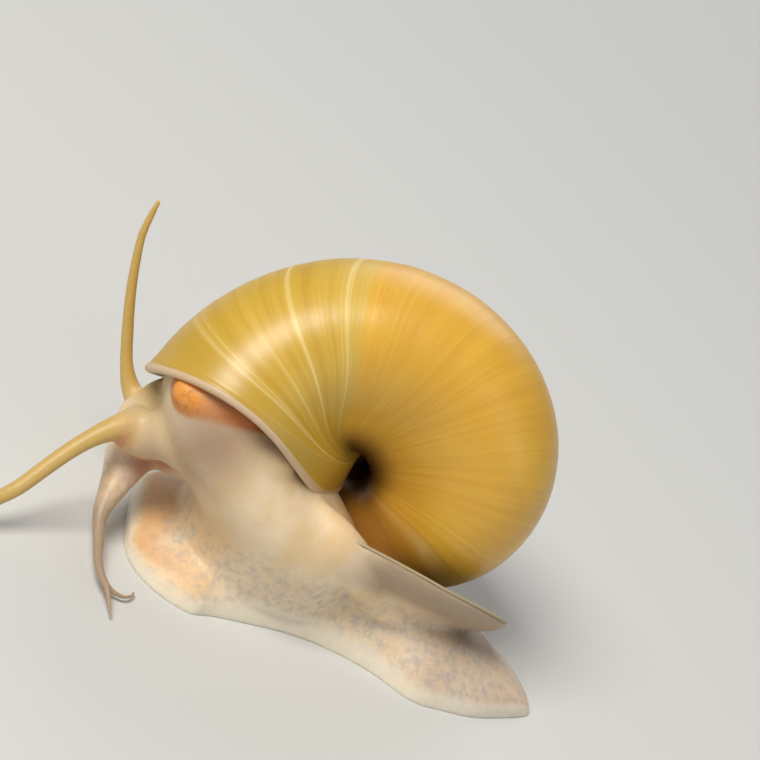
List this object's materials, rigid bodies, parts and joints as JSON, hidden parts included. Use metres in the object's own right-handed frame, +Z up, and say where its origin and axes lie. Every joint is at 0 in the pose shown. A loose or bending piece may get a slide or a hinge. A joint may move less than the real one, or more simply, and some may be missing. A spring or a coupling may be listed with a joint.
{
  "type": "apple snail",
  "caption": "Life-size golden apple snail gliding on its sole, round coiled shell with open umbilicus, long tentacles, mouth palps and operculum on the tail.",
  "frame": {"origin": "on the flat of the sole, under the front third of the foot, on the middle line", "axes": "+Z up, -X the way the head points, -Y the animal's left side"},
  "size_m": [0.0636, 0.0408, 0.0352],
  "materials": {
    "skin": "moist smooth cream flesh",
    "mantle": "moist orange flesh",
    "shell": "smooth golden shell with a soft sheen",
    "operculum": "dark horny plate",
    "eye": "small wet bead"
  },
  "bodies": {
    "root": {"eye_left": "eye", "eye_right": "eye", "foot_front": "skin", "foot_middle": "skin", "foot_tail": "skin", "head": "skin", "neck": "skin", "opercular_lobe": "skin", "operculum": "operculum", "palp_left": "skin", "palp_right": "skin", "shell": "shell", "siphon": "mantle", "tentacle_left": "skin", "tentacle_left_tip": "skin", "tentacle_right": "skin", "tentacle_right_tip": "skin"}
  },
  "joints": []
}
